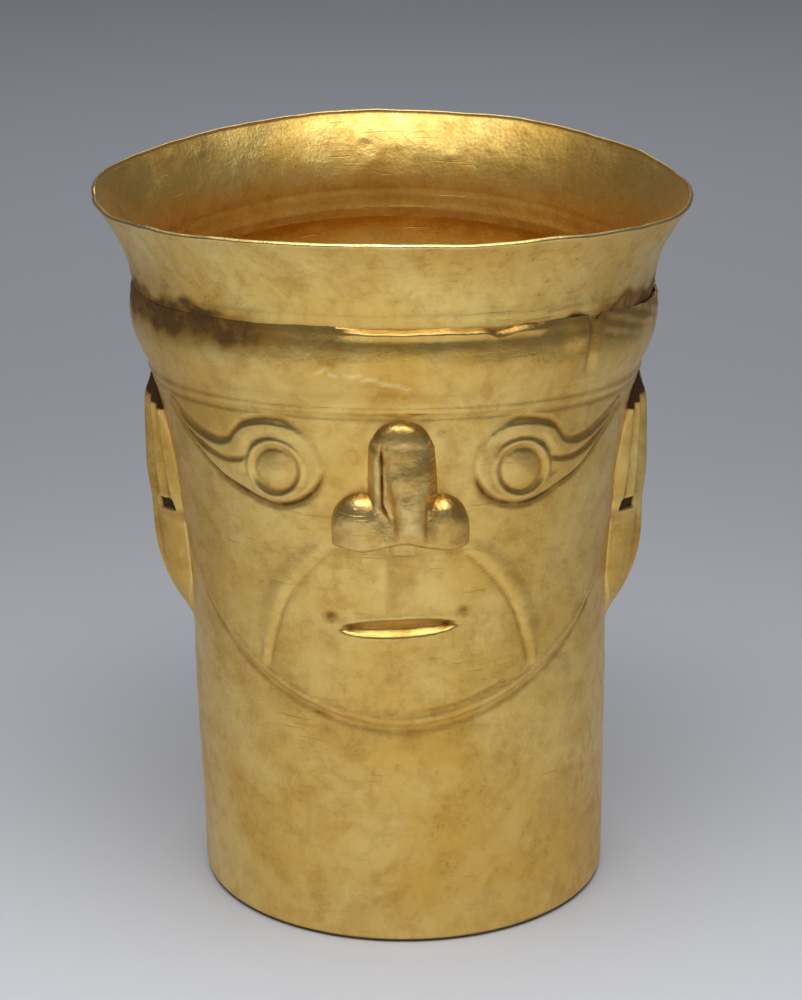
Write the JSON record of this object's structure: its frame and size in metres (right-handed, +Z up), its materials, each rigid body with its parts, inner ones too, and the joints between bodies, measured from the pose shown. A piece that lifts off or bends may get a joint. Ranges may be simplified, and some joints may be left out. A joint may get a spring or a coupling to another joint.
{
  "type": "double-sided beaker",
  "caption": "Raised gold beaker with a schematic face on each side, a banded brow, applied noses and ears, and a separate flared mouth.",
  "frame": {"origin": "centre of the flat base, on the surface that the beaker stands on", "axes": "+Z up through the mouth, -Y out of the front face, +X to the right of someone who looks at that face"},
  "size_m": [0.1606, 0.1606, 0.2],
  "materials": {
    "gold_cup": "hammered satin gold with soil in its creases",
    "gold_collar": "burnished hammered gold, pitted inside",
    "gold_nose": "satin gold worn on its high places",
    "gold_ear": "satin gold with dark soil in its grooves"
  },
  "bodies": {
    "root": {"head_cup": "gold_cup", "mouth_collar": "gold_collar", "front_nose": "gold_nose", "back_nose": "gold_nose", "front_left_ear": "gold_ear", "front_right_ear": "gold_ear", "back_left_ear": "gold_ear", "back_right_ear": "gold_ear"}
  },
  "joints": []
}
